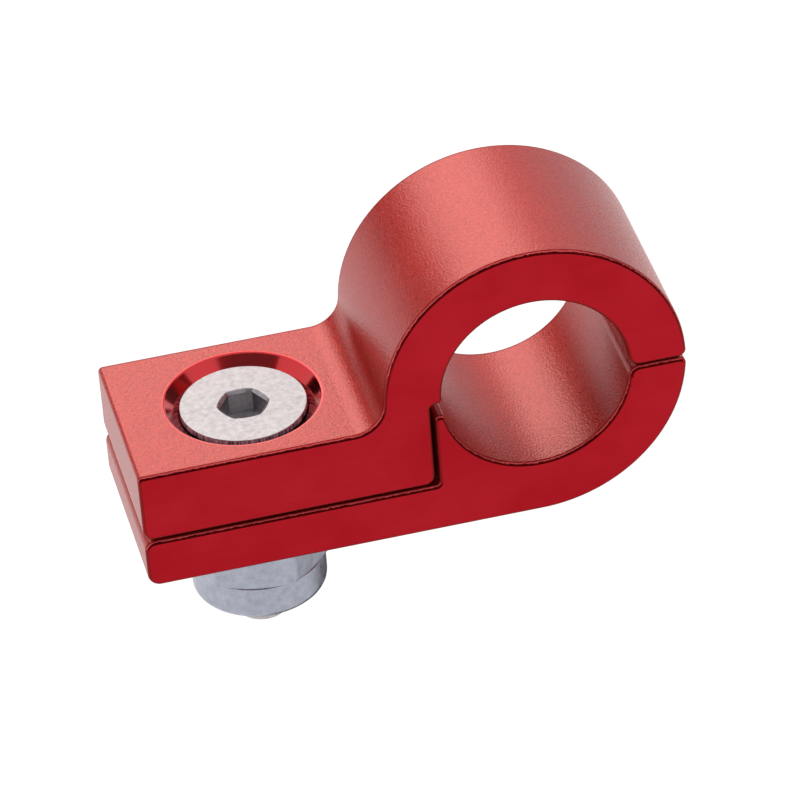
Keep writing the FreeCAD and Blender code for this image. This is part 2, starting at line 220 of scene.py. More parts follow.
# Hollows of the grain are painted darker, as painted shade, and its crests lighter, as a painted
# highlight.
hollow_shade = add(tree, "ShaderNodeMapRange", Value=grain, From_Min=0.32, From_Max=0.5, To_Min=0.45,
          To_Max=0.0)
hollow_shaded = add(tree, "ShaderNodeMix", COLOURS, _0=hollow_shade, _6=dye.outputs[2], _7=colour("861614"))
crest_highlight = add(tree, "ShaderNodeMapRange", Value=grain, From_Min=0.5, From_Max=0.7, To_Max=0.5)
skin = add(tree, "ShaderNodeMix", COLOURS, _0=crest_highlight, _6=hollow_shaded.outputs[2], _7=colour("D44936"))
along = add(tree, "ShaderNodeSeparateXYZ", Vector=place)
off_middle = add(tree, "ShaderNodeMath", {"operation": "ABSOLUTE"}, _0=along.outputs["Y"])
strip_end = WIDTH / 2 - EDGE_BREAK
# A strip beside each cut is painted darker red: painted shade that widens the dark line along the
# rim.
rim_shade_strip = add(tree, "ShaderNodeMapRange", Value=off_middle,
               From_Min=(strip_end - RIM_SHADE_WIDTH) * MM, From_Max=strip_end * MM, To_Max=0.5)
red = add(tree, "ShaderNodeMix", COLOURS, _0=rim_shade_strip, _6=skin.outputs[2], _7=colour("A8180E"))
sheen = add(tree, "ShaderNodeMapRange", Value=cloud, **NOISE_BAND, To_Min=0.54, To_Max=0.6)
drawn_bump = add(tree, "ShaderNodeBump", Strength=0.35, Distance=0.006 * MM, Height=lines)
peel_bump = add(tree, "ShaderNodeBump", Strength=1.0, Distance=0.045 * MM, Height=grain,
                Normal=drawn_bump)
connect(tree, shader, Base_Color=red.outputs[2], Roughness=sheen, Normal=peel_bump,
        Coat_Normal=peel_bump)

# The same, sawn off and finished smooth: a deeper, cooler red with hardly any sheen. The real
# marks of the finish are finer than a pixel. They are drawn 0.3 mm wide so that they show.
red_cut, tree, shader, place = new_material(
    "red_anodised_cut", Metallic=1.0, Specular_Tint=colour("BC6C62"), Coat_Weight=0.06,
    Coat_IOR=1.6, Coat_Roughness=0.2)
strokes = add(tree, "ShaderNodeMapping", Vector=place, Scale=(0.05, 1.0, 1.0),
              Rotation=(0, math.radians(12), 0))
brushed = add(tree, "ShaderNodeTexNoise", Vector=strokes, Scale=per_mm(0.30), Detail=3.0)
cloud = add(tree, "ShaderNodeTexNoise", Vector=place, Scale=per_mm(6.0), Detail=2.0)
patch = add(tree, "ShaderNodeMapRange", Value=cloud, **NOISE_BAND)
dye = add(tree, "ShaderNodeMix", COLOURS, _0=patch, _6=colour("AA121F"), _7=colour("B21A26"))
sheen = add(tree, "ShaderNodeMapRange", Value=brushed, **NOISE_BAND, To_Min=0.3, To_Max=0.4)
brush_bump = add(tree, "ShaderNodeBump", Strength=0.3, Distance=0.005 * MM, Height=brushed)
connect(tree, shader, Base_Color=dye.outputs[2], Roughness=sheen, Normal=brush_bump)

# The edges of a cut, deburred by tumbling: the skin there is rubbed dull. Their colours are
# painted light and shade: from the skin to the cut come a painted shadow, a painted highlight
# line, and a painted dark band beside the cut, with a ragged border. Only the edges that face up
# show all of it, as painted light from above; the others are one darker red. The shades follow
# how far the surface leans to the cut.
red_edge, tree, shader, place = new_material(
    "red_anodised_edge", Metallic=0.35, Specular_Tint=colour("BC6C62"), Specular_IOR_Level=0.2)
facing = add(tree, "ShaderNodeSeparateXYZ",
             Vector=add(tree, "ShaderNodeNewGeometry").outputs["Normal"])
lean = add(tree, "ShaderNodeMath", {"operation": "ABSOLUTE"}, _0=facing.outputs["Y"])
nick = add(tree, "ShaderNodeTexNoise", Vector=place, Scale=per_mm(0.45), Detail=4.0,
           Roughness=0.7)
shift = add(tree, "ShaderNodeMapRange", Value=nick, **NOISE_BAND, To_Min=-0.15, To_Max=0.15)
across = add(tree, "ShaderNodeMath", {"operation": "ADD"}, _0=lean, _1=shift)
# The ramp paints light and shade across the edge: a painted shadow, a painted highlight line and
# a painted dark band.
painted_edge_light = add(tree, "ShaderNodeValToRGB", Fac=across)
painted_edge_light.color_ramp.elements[0].color = colour("A42620")
painted_edge_light.color_ramp.elements[1].color = colour("6A0408")
for share, code in ((0.20, "941814"), (0.34, "B02E2A"), (0.47, "F0666A"), (0.59, "E45C60"),
                    (0.68, "961C1C"), (0.76, "580204"), (0.97, "4E0003")):
    painted_edge_light.color_ramp.elements.new(share).color = colour(code)
# Only edges that face up get the painted light and shade; the others get one darker red.
upward = add(tree, "ShaderNodeMapRange", Value=facing.outputs["Z"], From_Min=0.0, From_Max=0.25)
shade = add(tree, "ShaderNodeMix", COLOURS, _0=upward, _6=colour("9E1C1E"), _7=painted_edge_light)
flush = add(tree, "ShaderNodeMapRange", Value=lean, From_Min=0.985, From_Max=0.9995)
blend = add(tree, "ShaderNodeMix", COLOURS, _0=flush, _6=shade.outputs[2], _7=colour("AD1522"))
rubbed = add(tree, "ShaderNodeMapRange", Value=nick, **NOISE_BAND, To_Min=0.26, To_Max=0.4)
nick_bump = add(tree, "ShaderNodeBump", Strength=0.7, Distance=0.02 * MM, Height=nick)
connect(tree, shader, Base_Color=blend.outputs[2], Roughness=rubbed, Normal=nick_bump)

# The countersink and the screw holes: turned bright before dyeing, so glossy, with fine rings of
# the cutter. The real rings are finer than a pixel. They are drawn at 0.12 mm so that they show.
red_turned, tree, shader, place = new_material(
    "red_anodised_turned", Metallic=1.0, Roughness=0.16, Coat_Weight=0.7, Coat_IOR=1.6,
    Coat_Roughness=0.08, Base_Color=colour("C8121C"))
level = add(tree, "ShaderNodeMapping", Vector=place, Scale=(0.02, 0.02, 1.0))
rings = add(tree, "ShaderNodeTexNoise", Vector=level, Scale=per_mm(0.12), Detail=1.0)
ring_bump = add(tree, "ShaderNodeBump", Strength=0.4, Distance=0.004 * MM, Height=rings)
connect(tree, shader, Normal=ring_bump)

# Nickel plated steel of the screw: the faced head has fine rings about its axis and some wear
# marks. The real rings are a twentieth of a millimetre apart. They are drawn at 0.12 mm so that
# they show.
screw_steel, tree, shader, place = new_material("nickel_plated_steel", Metallic=1.0)
centred = add(tree, "ShaderNodeMapping", Vector=place, Location=(-SCREW_X * MM, 0, 0))
across = add(tree, "ShaderNodeVectorMath", {"operation": "MULTIPLY"}, _0=centred, _1=(1, 1, 0))
radius = add(tree, "ShaderNodeVectorMath", {"operation": "LENGTH"}, _0=across)
ring_place = add(tree, "ShaderNodeCombineXYZ", X=radius.outputs["Value"])
rings = add(tree, "ShaderNodeTexNoise", Vector=ring_place, Scale=per_mm(0.12), Detail=2.0)
mottle = add(tree, "ShaderNodeTexNoise", Vector=place, Scale=per_mm(0.55), Detail=4.0,
             Roughness=0.7)
patch = add(tree, "ShaderNodeMapRange", Value=mottle, **NOISE_BAND)
metal = add(tree, "ShaderNodeMix", COLOURS, _0=patch, _6=colour("837C80"), _7=colour("B2ACB0"))
gloss = add(tree, "ShaderNodeMapRange", Value=mottle, **NOISE_BAND, To_Min=0.3, To_Max=0.42)
ring_bump = add(tree, "ShaderNodeBump", Strength=0.5, Distance=0.004 * MM, Height=rings)
mottle_bump = add(tree, "ShaderNodeBump", Strength=0.5, Distance=0.02 * MM, Height=mottle,
                  Normal=ring_bump)
connect(tree, shader, Base_Color=metal.outputs[2], Roughness=gloss, Normal=mottle_bump)

# The thread and the broached socket of the same screw: rougher, with cloudy plating.
screw_thread, tree, shader, place = new_material("nickel_plated_thread", Metallic=1.0)
cloud = add(tree, "ShaderNodeTexNoise", Vector=place, Scale=per_mm(0.4), Detail=3.0)
patch = add(tree, "ShaderNodeMapRange", Value=cloud, **NOISE_BAND)
metal = add(tree, "ShaderNodeMix", COLOURS, _0=patch, _6=colour("A6A3A8"), _7=colour("C6C2C4"))
gloss = add(tree, "ShaderNodeMapRange", Value=cloud, **NOISE_BAND, To_Min=0.3, To_Max=0.45)
connect(tree, shader, Base_Color=metal.outputs[2], Roughness=gloss)

# The side and cone of the head, as cold formed, with upright marks of the tool. Its dull dark
# bluish tone, hardly metallic, is painted shade: the narrow gap between the head and the
# countersink keeps it in shade. The real marks are finer than a pixel. They are drawn 0.25 mm
# wide so that they show.
screw_side, tree, shader, place = new_material("cold_formed_steel_in_painted_shade", Metallic=0.2)
upright = add(tree, "ShaderNodeMapping", Vector=place, Scale=(1.0, 1.0, 0.03))
marks = add(tree, "ShaderNodeTexNoise", Vector=upright, Scale=per_mm(0.25), Detail=1.0)
patch = add(tree, "ShaderNodeMapRange", Value=marks, From_Min=0.4, From_Max=0.6)
metal = add(tree, "ShaderNodeMix", COLOURS, _0=patch, _6=colour("566070"), _7=colour("C4CEE0"))
gloss = add(tree, "ShaderNodeMapRange", Value=marks, From_Min=0.4, From_Max=0.6, To_Min=0.5,
            To_Max=0.35)
mark_bump = add(tree, "ShaderNodeBump", Strength=1.0, Distance=0.05 * MM, Height=marks)
connect(tree, shader, Base_Color=metal.outputs[2], Roughness=gloss, Normal=mark_bump)

# Zinc plated steel of the nut: bluish, softly blurred, with the mottle of the bath.
nut_zinc, tree, shader, place = new_material("zinc_plated_steel", Metallic=1.0)
mottle = add(tree, "ShaderNodeTexNoise", Vector=place, Scale=per_mm(0.8), Detail=5.0,
             Roughness=0.75)
rubbed = add(tree, "ShaderNodeTexNoise", Vector=place, Scale=per_mm(2.5), Detail=3.0)
patch = add(tree, "ShaderNodeMapRange", Value=mottle, **NOISE_BAND)
metal = add(tree, "ShaderNodeMix", COLOURS, _0=patch, _6=colour("9598A6"), _7=colour("B6B9C8"))
bright = add(tree, "ShaderNodeMapRange", Value=rubbed, From_Min=0.5, From_Max=0.75, To_Max=0.5)
plating = add(tree, "ShaderNodeMix", COLOURS, _0=bright, _6=metal.outputs[2],
              _7=colour("BFC3CC"))
gloss = add(tree, "ShaderNodeMapRange", Value=mottle, **NOISE_BAND, To_Min=0.24, To_Max=0.4)
mottle_bump = add(tree, "ShaderNodeBump", Strength=0.6, Distance=0.03 * MM, Height=mottle)
connect(tree, shader, Base_Color=plating.outputs[2], Roughness=gloss, Normal=mottle_bump)

# Nylon of the insert: milky and a little see-through at its edges, with the soft marks of
# moulding.
insert_nylon, tree, shader, place = new_material(
    "natural_nylon", Roughness=0.45, IOR=1.53, Subsurface_Weight=0.3,
    Subsurface_Scale=0.5 * MM)
cloud = add(tree, "ShaderNodeTexNoise", Vector=place, Scale=per_mm(1.5), Detail=2.0)
milk = add(tree, "ShaderNodeMix", COLOURS, _0=cloud, _6=colour("D2D1C6"), _7=colour("E0DFD8"))
cloud_bump = add(tree, "ShaderNodeBump", Strength=0.3, Distance=0.02 * MM, Height=cloud)
connect(tree, shader, Base_Color=milk.outputs[2], Normal=cloud_bump)

# Finishes of a half and of the screw, in the order of their material slots. A bar's face is cut,
# or the edge of a cut, by how much it leans along the tube.
RED_FINISHES = [red_extruded, red_cut, red_edge, red_turned]
EXTRUDED, CUT, EDGE, TURNED = range(4)
SCREW_FINISHES = [screw_steel, screw_thread, screw_side]
FACED, THREADED, FORMED = range(3)
CUT_LEAN = 0.99
EDGE_LEAN = 0.05


def arc(bm, centre, radius, start, sweep):
    """A run of edges round a centre in the XZ plane. Angles turn from +X towards +Z."""
    x, z = centre
    first = bm.verts.new((x + radius * math.cos(start), 0, z + radius * math.sin(start)))
    steps = max(FEWEST_ARC_STEPS, math.ceil(abs(sweep) / ARC_STEP))
    bmesh.ops.spin(bm, geom=[first], cent=(x, 0, z), axis=(0, -1, 0), angle=sweep, steps=steps)
    run = [first]
    while True:
        ends = [e.other_vert(run[-1]) for e in run[-1].link_edges]
        fresh = [v for v in ends if v not in run]
        if not fresh:
            return run
        run.append(fresh[0])


def round_between(z, radius, circle, inside, side, above):
    """Centre of a round between a level line and a circle about the origin, which the round
    touches from inside or outside, and the angle from the origin to it."""
    height = z + radius if above else z - radius
    reach = circle - radius if inside else circle + radius
    x = side * math.sqrt(reach ** 2 - height ** 2)
    return (x, height), math.atan2(height, x)


def close_section(bm, runs):
    """The face inside a row of runs, which are joined end to start by straight edges."""
    for index, run in enumerate(runs):
        bm.edges.new((run[-1], runs[(index + 1) % len(runs)][0]))
    return bmesh.ops.edgenet_fill(bm, edges=bm.edges)["faces"][0]


def upper_section(bm):
    """Section of the upper half, from its nose round the outside, the arm and the bore."""
    nose_out, nose_out_angle = round_between(UPPER_SPLIT, NOSE_OUTER_RADIUS, RING, True, 1, True)
    root, root_angle = round_between(ARM_TOP, ARM_ROOT_RADIUS, RING, False, -1, True)
    lip, lip_angle = round_between(UPPER_SPLIT, POCKET_LIP_RADIUS, BORE, False, -1, True)
    nose_in, nose_in_angle = round_between(UPPER_SPLIT, NOSE_BORE_RADIUS, BORE, False, 1, True)
    root_angle %= FULL_TURN
    lip_angle %= FULL_TURN
    arm_end = (ARM_END + ARM_TOP_RADIUS, ARM_TOP - ARM_TOP_RADIUS)
    inner_end = (ARM_END + ARM_INNER_RADIUS, ARM_UNDER + ARM_INNER_RADIUS)
    heel = (UPPER_HEEL - HEEL_CORNER_RADIUS, ARM_UNDER + HEEL_CORNER_RADIUS)
    pocket = (UPPER_HEEL + POCKET_RADIUS, UPPER_SPLIT - POCKET_RADIUS)
    return close_section(bm, [
        arc(bm, nose_out, NOSE_OUTER_RADIUS, -QUARTER, QUARTER + nose_out_angle),
        arc(bm, (0, 0), RING, nose_out_angle, root_angle - nose_out_angle),
        arc(bm, root, ARM_ROOT_RADIUS, root_angle - math.pi, math.pi - QUARTER - root_angle),
        arc(bm, arm_end, ARM_TOP_RADIUS, QUARTER, QUARTER),
        arc(bm, inner_end, ARM_INNER_RADIUS, 2 * QUARTER, QUARTER),
        arc(bm, heel, HEEL_CORNER_RADIUS, -QUARTER, QUARTER),
        arc(bm, pocket, POCKET_RADIUS, 2 * QUARTER, -QUARTER),
        arc(bm, lip, POCKET_LIP_RADIUS, -QUARTER, lip_angle - QUARTER),
        arc(bm, (0, 0), BORE, lip_angle, nose_in_angle - lip_angle),
        arc(bm, nose_in, NOSE_BORE_RADIUS, nose_in_angle + math.pi, QUARTER - nose_in_angle),
    ])


def lower_section(bm):
    """Section of the lower half, from its foot round the arm, the heel, the bore and the
    outside."""
    nose_in, nose_in_angle = round_between(LOWER_SPLIT, NOSE_BORE_RADIUS, BORE, False, 1, False)
    nose_out, nose_out_angle = round_between(LOWER_SPLIT, NOSE_OUTER_RADIUS, RING, True, 1, False)
    lip, lip_angle = round_between(HEEL_TOP, HEEL_TIP_RADIUS, BORE, False, -1, False)
    lip_angle %= FULL_TURN
    foot_end = (ARM_END + ARM_FOOT_RADIUS, FOOT + ARM_FOOT_RADIUS)
    inner_end = (ARM_END + ARM_INNER_RADIUS, LOWER_ARM_TOP - ARM_INNER_RADIUS)
    heel_root = (LOWER_HEEL - HEEL_ROOT_RADIUS, LOWER_ARM_TOP + HEEL_ROOT_RADIUS)
    heel_tip = (LOWER_HEEL + HEEL_TIP_RADIUS, HEEL_TOP - HEEL_TIP_RADIUS)
    return close_section(bm, [
        arc(bm, foot_end, ARM_FOOT_RADIUS, 3 * QUARTER, -QUARTER),
        arc(bm, inner_end, ARM_INNER_RADIUS, 2 * QUARTER, -QUARTER),
        arc(bm, heel_root, HEEL_ROOT_RADIUS, -QUARTER, QUARTER),
        arc(bm, heel_tip, HEEL_TIP_RADIUS, 2 * QUARTER, -QUARTER),
        arc(bm, lip, HEEL_TIP_RADIUS, QUARTER, lip_angle - 3 * QUARTER),
        arc(bm, (0, 0), BORE, lip_angle, FULL_TURN + nose_in_angle - lip_angle),
        arc(bm, nose_in, NOSE_BORE_RADIUS, nose_in_angle + math.pi, -QUARTER - nose_in_angle),
        arc(bm, nose_out, NOSE_OUTER_RADIUS, QUARTER, nose_out_angle - QUARTER),
        arc(bm, (0, 0), RING, nose_out_angle, -QUARTER - nose_out_angle),
    ])


def extrude_bar(bm, section):
    """Extrudes a section along the tube, rounds the edges of both cuts and gives each face its
    finish."""
    bmesh.ops.translate(bm, verts=bm.verts, vec=(0, -WIDTH / 2, 0))
    grown = bmesh.ops.extrude_face_region(bm, geom=[section], use_keep_orig=True)
    far = [v for v in grown["geom"] if isinstance(v, bmesh.types.BMVert)]
    bmesh.ops.translate(bm, verts=far, vec=(0, WIDTH, 0))
    bmesh.ops.recalc_face_normals(bm, faces=bm.faces)
    rims = [e for e in bm.edges if abs(abs(e.verts[0].co.y) - WIDTH / 2) < WELD
            and abs(e.verts[0].co.y - e.verts[1].co.y) < WELD]
    bmesh.ops.bevel(bm, geom=rims, offset=EDGE_BREAK, segments=EDGE_SEGMENTS, profile=0.5,
                    material=-1, affect="EDGES")
    bm.normal_update()
    for face in bm.faces:
        lean = abs(face.normal.y)
        if lean > CUT_LEAN:
            face.material_index = CUT
        elif lean > EDGE_LEAN:
            face.material_index = EDGE


def flat_face_at(bm, normal, place):
    """The largest face with that normal whose plane goes through the place."""
    normal = Vector(normal)
    place = Vector(place)
    flat = [f for f in bm.faces if f.normal.dot(normal) > PARALLEL
            and abs((f.calc_center_median() - place).dot(normal)) < SAME_PLACE]
    return max(flat, key=lambda f: f.calc_area())


def round_loop(bm, radius, z):
    """A ring of edges about the screw's axis."""
    ring = bmesh.ops.create_circle(bm, cap_ends=False, segments=TURNED_SIDES, radius=radius,
                                   matrix=Matrix.Translation((SCREW_X, 0, z)))
    return list({e for v in ring["verts"] for e in v.link_edges})


def open_face(bm, face, edges):
    """Replaces a flat face of a bar by one with a hole inside a loop of edges."""
    rim = face.edges[:]
    bmesh.ops.delete(bm, geom=[face], context="FACES_ONLY")
    for fresh in bmesh.ops.bridge_loops(bm, edges=rim + edges)["faces"]:
        fresh.material_index = EXTRUDED


def grow_loop(bm, edges, radius, z, material=0):
    """Extrudes a loop about the screw's axis to another radius and height, each a number or a
    rule by the angle."""
    grown = bmesh.ops.extrude_edge_only(bm, edges=edges)["geom"]
    for item in grown:
        if isinstance(item, bmesh.types.BMVert):
            angle = math.atan2(item.co.y, item.co.x - SCREW_X)
            r = radius(angle) if callable(radius) else radius
            height = z(angle) if callable(z) else z
            item.co = (SCREW_X + r * math.cos(angle), r * math.sin(angle), height)
        elif isinstance(item, bmesh.types.BMFace):
            item.material_index = material
    return [item for item in grown if isinstance(item, bmesh.types.BMEdge)]


def round_loop_over(bm, edges, centre, corner, start, sweep, material=0):
    """Carries a loop along a round, whose centre is a radius and a height."""
    radius, z = centre
    for step in range(1, ROUND_STEPS + 1):
        turn = start + sweep * step / ROUND_STEPS
        edges = grow_loop(bm, edges, radius + corner * math.cos(turn),
                          z + corner * math.sin(turn), material)
    return edges


def close_loop(bm, edges, z, material=0):
    """Closes a loop about the screw's axis by a cone whose tip is on the axis."""
    grown = bmesh.ops.extrude_edge_only(bm, edges=edges)["geom"]
    for item in grown:
        if isinstance(item, bmesh.types.BMFace):
            item.material_index = material
    tip = [item for item in grown if isinstance(item, bmesh.types.BMVert)]
    bmesh.ops.pointmerge(bm, verts=tip, merge_co=(SCREW_X, 0, z))


def hexagon(flats, turn):
    """Radius by the angle of a hexagon with that size across its flats."""
    sixth = math.pi / 3
    return lambda angle: flats / 2 / math.cos((angle - turn + sixth / 2) % sixth - sixth / 2)


def socket_mouth(wider):
    """Radius by the angle of the socket's mouth, widened by a lip. The punch leaves its corners
    round, so it lies halfway between a hexagon and a circle."""
    broached = hexagon(SOCKET_MOUTH, SOCKET_TURN)
    return lambda angle: (broached(angle) + SOCKET_MOUTH_CIRCLE) / 2 + wider


def soften_nut_edges(bm):
    """Rounds the sharp edges of the nut's hexagon."""
    bm.normal_update()
    sharp = []
    for edge in bm.edges:
        middle = (edge.verts[0].co + edge.verts[1].co) / 2
        if (len(edge.link_faces) == 2 and edge.calc_face_angle(0) > SOFTENED_ANGLE
                and middle.z > SOFT_FROM_Z
                and math.hypot(middle.x - SCREW_X, middle.y) > SOFT_FROM_RADIUS):
            sharp.append(edge)
    bmesh.ops.bevel(bm, geom=sharp, offset=NUT_SOFTNESS, segments=SOFT_SEGMENTS, profile=0.5,
                    material=-1, affect="EDGES")


def mesh_object(bm, name, materials):
    """An object with the mesh, taken from millimetres to metres."""
    bmesh.ops.scale(bm, verts=bm.verts, vec=(MM, MM, MM))
    mesh = bpy.data.meshes.new(name)
    bm.to_mesh(mesh)
    bm.free()
    for material in materials:
        mesh.materials.append(material)
    thing = bpy.data.objects.new(name, mesh)
    bpy.context.scene.collection.objects.link(thing)
    return thing


def finish_piece(bm, name, materials, node):
    """Makes a piece of the clip, which stands for a node and takes its finish from a slot."""
    bmesh.ops.remove_doubles(bm, verts=bm.verts, dist=WELD)
    bmesh.ops.recalc_face_normals(bm, faces=bm.faces)
    for face in bm.faces:
        face.smooth = True
    piece = mesh_object(bm, name, materials)
    piece.data.set_sharp_from_angle(angle=SHARP_ANGLE)
    normals = piece.modifiers.new("face_weighted_normals", "WEIGHTED_NORMAL")
    normals.keep_sharp = True
    normals.weight = 100
    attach(piece, "root")
    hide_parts(node)


# Upper half: its arm has the countersink, with a rounded mouth, over the screw's hole
bm = bmesh.new()
extrude_bar(bm, upper_section(bm))
mouth = round_loop(bm, COUNTERSINK + MOUTH_ROUND, ARM_TOP)
open_face(bm, flat_face_at(bm, (0, 0, 1), (SCREW_X, 0, ARM_TOP)), mouth)
mouth = round_loop_over(bm, mouth, (COUNTERSINK + MOUTH_ROUND, ARM_TOP - MOUTH_ROUND),
                        MOUTH_ROUND, QUARTER, QUARTER / 2, TURNED)
seat = grow_loop(bm, mouth, HOLE, ARM_TOP - (COUNTERSINK - HOLE), TURNED)
wall = grow_loop(bm, seat, HOLE, ARM_UNDER, TURNED)
open_face(bm, flat_face_at(bm, (0, 0, -1), (SCREW_X, 0, ARM_UNDER)), wall)
finish_piece(bm, "upper_clamp_half", RED_FINISHES, "upper_half")

# Lower half: its arm has a plain hole
bm = bmesh.new()
extrude_bar(bm, lower_section(bm))
wall = round_loop(bm, HOLE, LOWER_ARM_TOP)
open_face(bm, flat_face_at(bm, (0, 0, 1), (SCREW_X, 0, LOWER_ARM_TOP)), wall)
wall = grow_loop(bm, wall, HOLE, FOOT, TURNED)
open_face(bm, flat_face_at(bm, (0, 0, -1), (SCREW_X, 0, FOOT)), wall)
finish_piece(bm, "lower_clamp_half", RED_FINISHES, "lower_half")

# Screw: a row of thread teeth is swept one turn round with a rise of one pitch. The spare turns
# are cut off, the lower end is chamfered, and the head grows from the neck above the thread.
bm = bmesh.new()
teeth = math.ceil((THREAD_TOP - SCREW_END) / THREAD_PITCH) + 2 * SPARE_TURNS
outline = [bm.verts.new((SCREW_X + SHANK, 0, SCREW_END - SPARE_TURNS * THREAD_PITCH))]
for tooth in range(teeth):
    for share, radius in THREAD_TOOTH:
        rise = (tooth - SPARE_TURNS + share) * THREAD_PITCH
        outline.append(bm.verts.new((SCREW_X + radius, 0, SCREW_END + rise)))
profile = [bm.edges.new(pair) for pair in zip(outline, outline[1:])]
bmesh.ops.spin(bm, geom=outline + profile, cent=(SCREW_X, 0, 0), axis=(0, 0, 1),
               angle=FULL_TURN, steps=TURNED_SIDES, dvec=(0, 0, THREAD_PITCH / TURNED_SIDES))
bmesh.ops.remove_doubles(bm, verts=bm.verts, dist=SAME_PLACE)
chamfer_top = SCREW_END + SCREW_END_CHAMFER
for height, cut in ((SCREW_END, "below"), (chamfer_top, "nothing"), (THREAD_TOP, "above")):
    bmesh.ops.bisect_plane(bm, geom=bm.verts[:] + bm.edges[:] + bm.faces[:], dist=WELD,
                           plane_co=(0, 0, height), plane_no=(0, 0, 1),
                           clear_inner=cut == "below", clear_outer=cut == "above")
for v in bm.verts:
    flat = Vector((v.co.x - SCREW_X, v.co.y))
    limit = SHANK - max(0, chamfer_top - v.co.z)
    if flat.length > limit:
        flat *= limit / flat.length
        v.co = (SCREW_X + flat.x, flat.y, v.co.z)
open_edges = [e for e in bm.edges if e.is_boundary]
thread_middle = (THREAD_TOP + SCREW_END) / 2
close_loop(bm, [e for e in open_edges if e.verts[0].co.z < thread_middle], SCREW_END)
neck = round_loop(bm, SHANK, THREAD_TOP + THREAD_NECK)
thread_top = [e for e in open_edges if e.verts[0].co.z > thread_middle]
bmesh.ops.bridge_loops(bm, edges=thread_top + neck)
for face in bm.faces:
    face.material_index = THREADED
cone = grow_loop(bm, neck, SHANK, HEAD_Z - HEAD_LAND - (HEAD - SHANK), FORMED)
land = grow_loop(bm, cone, HEAD, HEAD_Z - HEAD_LAND, FORMED)
rim = grow_loop(bm, land, HEAD, HEAD_Z - HEAD_RIM, FORMED)
mouth = round_loop_over(bm, rim, (HEAD - HEAD_RIM, HEAD_Z - HEAD_RIM), HEAD_RIM, 0, QUARTER,
                        FACED)
for share, sunk in SOCKET_LIP_STEPS:
    lip_z = HEAD_Z - sunk * SOCKET_LIP
    mouth = grow_loop(bm, mouth, socket_mouth(share * SOCKET_LIP), lip_z, FACED)
flats = hexagon(SOCKET_FLATS, SOCKET_TURN)
bevel_end = grow_loop(bm, mouth, flats, lip_z - (SOCKET_MOUTH - SOCKET_FLATS) / 2, FACED)
walls = grow_loop(bm, bevel_end, flats, HEAD_Z - SOCKET_DEPTH, THREADED)
drilled = grow_loop(bm, walls, SOCKET_DRILL, HEAD_Z - SOCKET_DEPTH, THREADED)
close_loop(bm, drilled, HEAD_Z - SOCKET_DEPTH - SOCKET_DRILL_TIP, THREADED)
finish_piece(bm, "countersunk_screw", SCREW_FINISHES, "clamp_screw")

# Lock nut: a hexagon over a round collar, which is rolled in over the nylon ring
bm = bmesh.new()
side = hexagon(NUT_FLATS, NUT_TURN)
bore = round_loop(bm, NUT_BORE, NUT_TOP - NUT_ENTRY)
entry = grow_loop(bm, bore, NUT_BORE + NUT_ENTRY, NUT_TOP)
face = grow_loop(bm, entry, NUT_FACE, NUT_TOP)
corners = grow_loop(bm, face, side, lambda angle: (
    NUT_TOP - (side(angle) - NUT_FACE) * math.tan(NUT_TOP_CHAMFER)))
foot = grow_loop(bm, corners, side, lambda angle: (
    COLLAR_TOP + (side(angle) - COLLAR) * math.tan(NUT_LOW_CHAMFER)))
neck = grow_loop(bm, foot, COLLAR_NECK, COLLAR_TOP)
collar = grow_loop(bm, neck, COLLAR, COLLAR_TOP - COLLAR_STEP)
low = grow_loop(bm, collar, COLLAR, COLLAR_END + COLLAR_ROUND)
rolled = round_loop_over(bm, low, (COLLAR - COLLAR_ROUND, COLLAR_END + COLLAR_ROUND),
                         COLLAR_ROUND, 0, -QUARTER)
lip = grow_loop(bm, rolled, LIP_HOLE + LIP_ROUND, COLLAR_END)
lip = round_loop_over(bm, lip, (LIP_HOLE + LIP_ROUND, COLLAR_END + LIP_ROUND), LIP_ROUND,
                      -QUARTER, -QUARTER)
groove = grow_loop(bm, lip, LIP_HOLE, INSERT_END)
for radius, z in ((INSERT, INSERT_END), (INSERT, INSERT_TOP), (NUT_BORE, INSERT_TOP)):
    groove = grow_loop(bm, groove, radius, z)
bmesh.ops.bridge_loops(bm, edges=groove + bore)
soften_nut_edges(bm)
finish_piece(bm, "hexagon_lock_nut", [nut_zinc], "lock_nut")

# Nylon ring in the nut's groove
bm = bmesh.new()
bore = round_loop(bm, SHANK, INSERT_TOP)
ring = bore
for radius, z in ((INSERT, INSERT_TOP), (INSERT, INSERT_END), (SHANK + INSERT_MOUTH, INSERT_END),
                  (SHANK, INSERT_END + INSERT_MOUTH)):
    ring = grow_loop(bm, ring, radius, z)
bmesh.ops.bridge_loops(bm, edges=ring + bore)
finish_piece(bm, "nylon_lock_ring", [insert_nylon], "nylon_insert")

# Studio: a pale table below the clip, a soft lamp above and behind it, white walls, and cards
# in the reflections
TABLE_Z = -60.0
TABLE_REACH = 3000.0
TABLE_GLOW = 0.52
ROOM_LIGHT = 0.55
WHITE = (1, 1, 1, 1)


def seen_directly(tree):
    """1 for rays from the camera and from reflections and glass, which all show the white
    background."""
    rays = add(tree, "ShaderNodeLightPath")
    both = add(tree, "ShaderNodeMath", {"operation": "MAXIMUM"},
               _0=rays.outputs["Is Camera Ray"], _1=rays.outputs["Is Glossy Ray"])
    return add(tree, "ShaderNodeMath", {"operation": "MAXIMUM"}, _0=both,
               _1=rays.outputs["Is Transmission Ray"])


def stage_sheet(bm, name, material):
    """A flat thing of the studio, which isn't part of the clip."""
    sheet = mesh_object(bm, name, [material])
    return sheet


